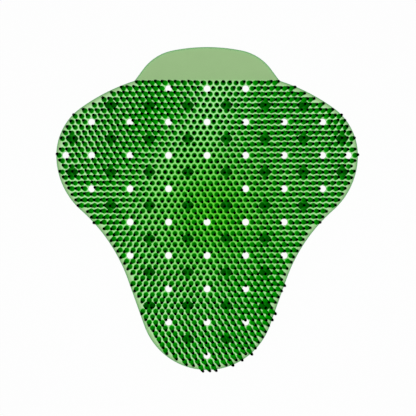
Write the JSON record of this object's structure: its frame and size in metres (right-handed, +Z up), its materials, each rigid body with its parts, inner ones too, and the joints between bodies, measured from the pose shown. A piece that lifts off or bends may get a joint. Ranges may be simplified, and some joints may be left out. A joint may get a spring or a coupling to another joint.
{
  "type": "urinal deodorizer screen",
  "caption": "Soft bristled mat for a urinal: a waisted sheet with a bare lifting tab, drain holes right through, leaning bristles on top and low diamond feet below",
  "frame": {"origin": "under the middle of the mat's box, on the surface that its feet rest on", "axes": "+Z up through the bristles, +Y towards the tab, +X to the right seen from above with the tab at the top"},
  "size_m": [0.181, 0.1938, 0.0163],
  "materials": {
    "scented_plastic": "soft translucent green moulding with a satin surface"
  },
  "bodies": {
    "root": {"screen_mat": "scented_plastic"}
  },
  "joints": []
}
